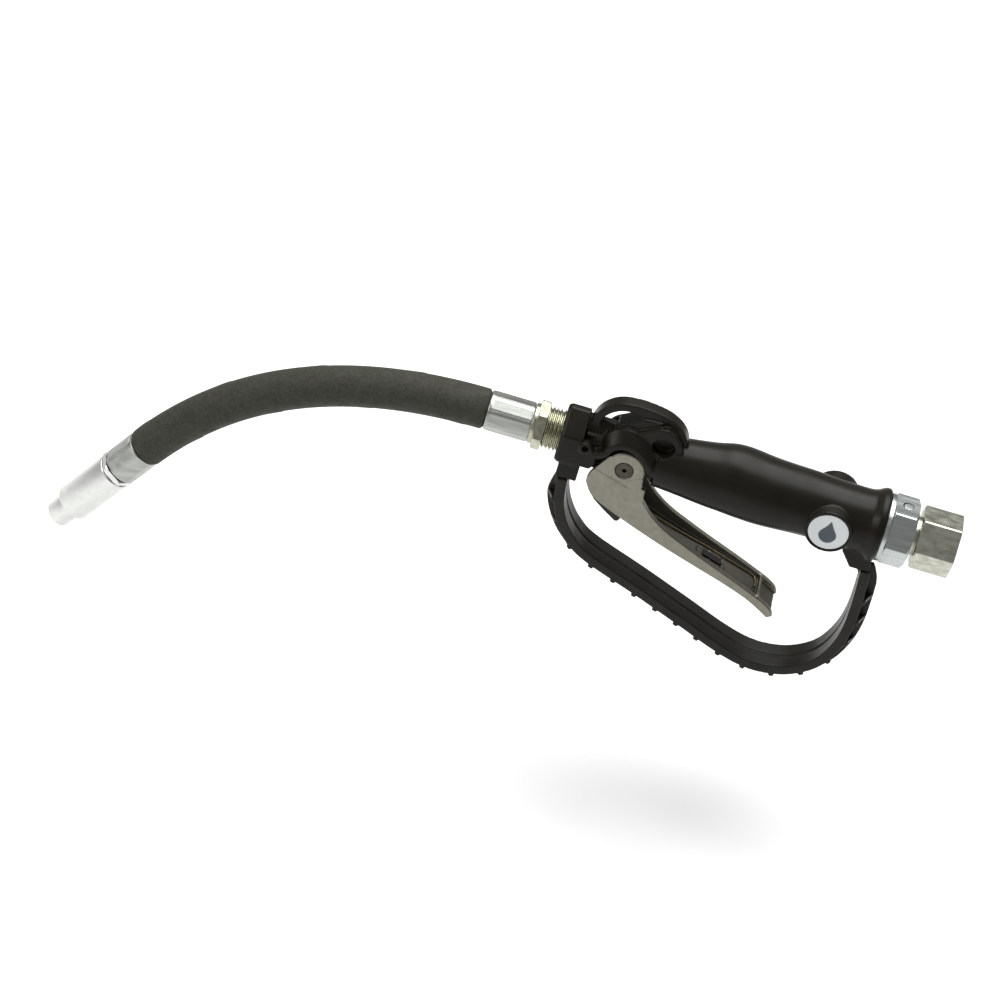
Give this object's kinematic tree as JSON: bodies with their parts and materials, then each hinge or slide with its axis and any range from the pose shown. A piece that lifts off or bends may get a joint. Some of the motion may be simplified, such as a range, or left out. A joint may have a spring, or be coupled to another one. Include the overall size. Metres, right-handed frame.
{
  "type": "fuel nozzle",
  "caption": "Manual oil and fuel dispensing gun: waisted black handle with trigger and full guard, swivel hex inlet, and a bent rubber hose spout ending in a metal nozzle.",
  "frame": {"origin": "centre of the inlet nut's end face, where the supply hose screws in", "axes": "+X along the handle's flow axis, out of the inlet; +Z to the top of the handle, away from the guard; Y across, with the gun and its bent spout lying in the XZ plane"},
  "size_m": [0.4242, 0.036, 0.1657],
  "materials": {
    "black_coated_casting": "satin",
    "black_plastic": "satin",
    "hose_rubber": "matte, cloth-wrapped",
    "zinc_plate": "satin",
    "yellow_zinc_plate": "satin",
    "die_cast_grey": "satin",
    "steel": "satin",
    "brass": "satin",
    "seal_rubber": "matte",
    "badge_label": "satin"
  },
  "bodies": {
    "gun": {"handle_casting": "black_coated_casting", "guard_band": "black_plastic", "guard_front_pin": "steel", "guard_rear_pin": "steel", "badge_near": "badge_label", "badge_far": "badge_label", "pivot_pin": "steel", "valve_seat": "brass", "stem_gland": "brass", "stem_oring": "seal_rubber", "spring_retainer": "brass", "valve_spring": "steel", "inlet_strainer": "brass", "swivel_collar": "zinc_plate", "race_plug": "steel", "inlet_washer": "zinc_plate", "outlet_adaptor": "yellow_zinc_plate", "gun_ferrule": "zinc_plate", "hose": "hose_rubber"},
    "trigger": {"trigger_lever": "die_cast_grey", "trigger_pad": "black_plastic", "latch_wire": "steel"},
    "latch": {"latch_slider": "black_plastic"},
    "valve": {"valve_stem": "steel", "poppet_seal": "seal_rubber"},
    "swivel": {"swivel_fitting": "yellow_zinc_plate", "swivel_oring": "seal_rubber", "race_wire": "steel"},
    "nozzle": {"nozzle_ferrule": "zinc_plate", "nozzle_coupling": "zinc_plate", "nozzle_body": "zinc_plate", "nozzle_tip": "zinc_plate", "drip_spring": "steel"},
    "drip_valve": {"drip_poppet": "brass"}
  },
  "joints": [
    {"name": "trigger_pull", "type": "hinge", "parent": "gun", "child": "trigger", "pos_m": [-0.16, 0, -0.004], "axis": [0, -1, 0], "range_deg": [0, 20], "stiffness_Nm_per_rad": 1.5, "springref_deg": -17.19},
    {"name": "valve_lift", "type": "slide", "parent": "gun", "child": "valve", "axis": [1, 0, 0], "range_m": [0, 0.0019], "deforming": ["valve_spring"]},
    {"name": "latch_slide", "type": "slide", "parent": "trigger", "child": "latch", "axis": [-0.9489, 0, 0.3156], "range_m": [0, 0.003]},
    {"name": "inlet_swivel", "type": "hinge", "parent": "gun", "child": "swivel", "pos_m": [0, 0, 0], "axis": [1, 0, 0], "continuous": true},
    {"name": "spout_flex", "type": "hinge", "parent": "gun", "child": "nozzle", "pos_m": [-0.3205, 0, -0.0198], "axis": [0, -1, 0], "range_deg": [-20, 12], "stiffness_Nm_per_rad": 4, "deforming": ["hose"]},
    {"name": "drip_open", "type": "slide", "parent": "nozzle", "child": "drip_valve", "axis": [-0.5411, 0, -0.8409], "range_m": [0, 0.003], "stiffness_N_per_m": 150, "springref_m": -0.003, "deforming": ["drip_spring"]}
  ],
  "couplings": [
    {"joint": "valve_lift", "follows": "trigger_pull", "m_per_rad": 0.0052}
  ]
}
